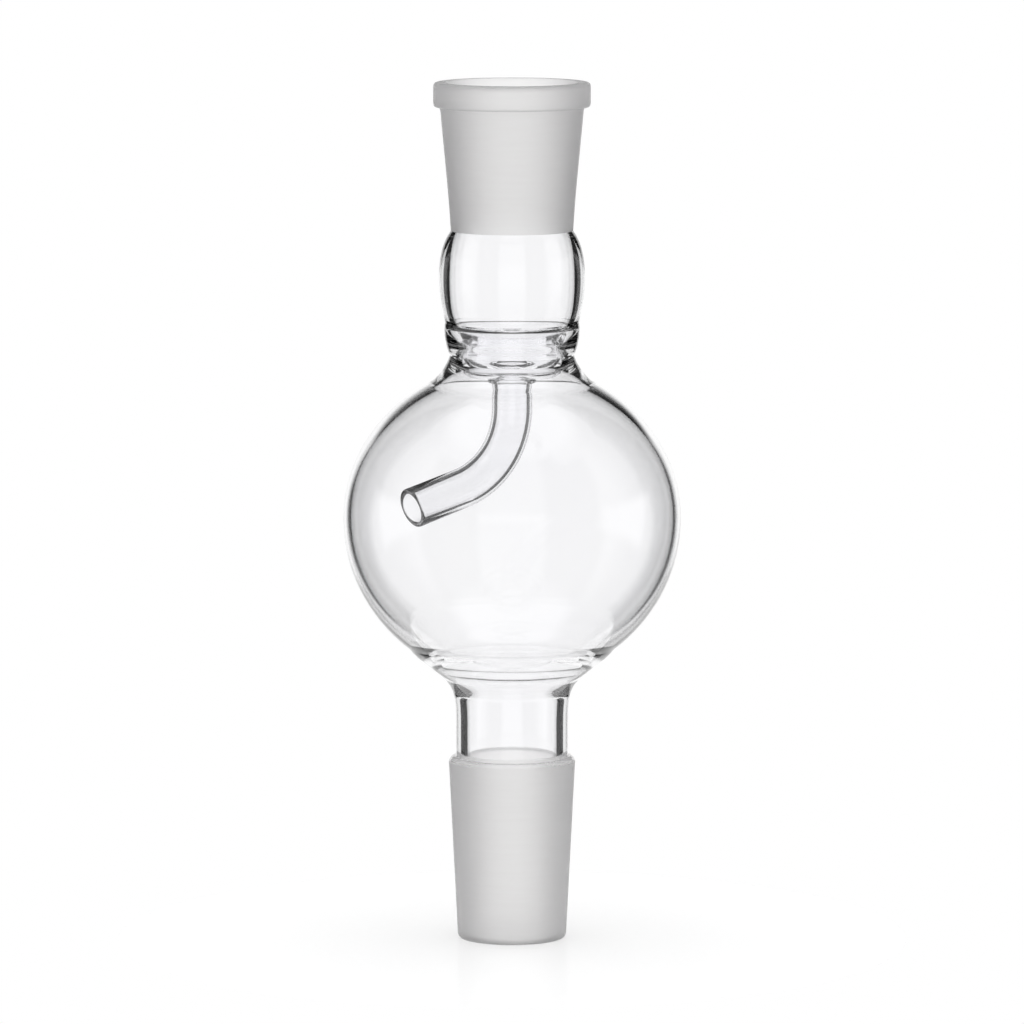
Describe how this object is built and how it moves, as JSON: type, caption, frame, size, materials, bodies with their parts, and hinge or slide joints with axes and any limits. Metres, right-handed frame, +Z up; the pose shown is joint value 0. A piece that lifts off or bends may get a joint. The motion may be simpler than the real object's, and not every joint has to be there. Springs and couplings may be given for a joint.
{
  "type": "rotary evaporator bump trap",
  "caption": "Glass splash head with a ground socket above, a round trap bulb with a bent vapour tube inside, and a ground cone below.",
  "frame": {"origin": "centre of the cone's end face, on the axis", "axes": "+Z up the axis from the cone to the socket; the vapour tube's open end faces -X and somewhat -Y"},
  "size_m": [0.064, 0.064, 0.163],
  "materials": {
    "clear_glass": "fire-polished clear borosilicate",
    "ground_glass": "fine-ground matte borosilicate"
  },
  "bodies": {
    "root": {"socket_joint": "ground_glass", "barrel_neck": "clear_glass", "inner_seal": "clear_glass", "neck_collar": "clear_glass", "trap_bulb": "clear_glass", "vapour_tube": "clear_glass", "tube_seal": "clear_glass", "stem_seal": "clear_glass", "stem": "clear_glass", "cone_joint": "ground_glass"}
  },
  "joints": []
}
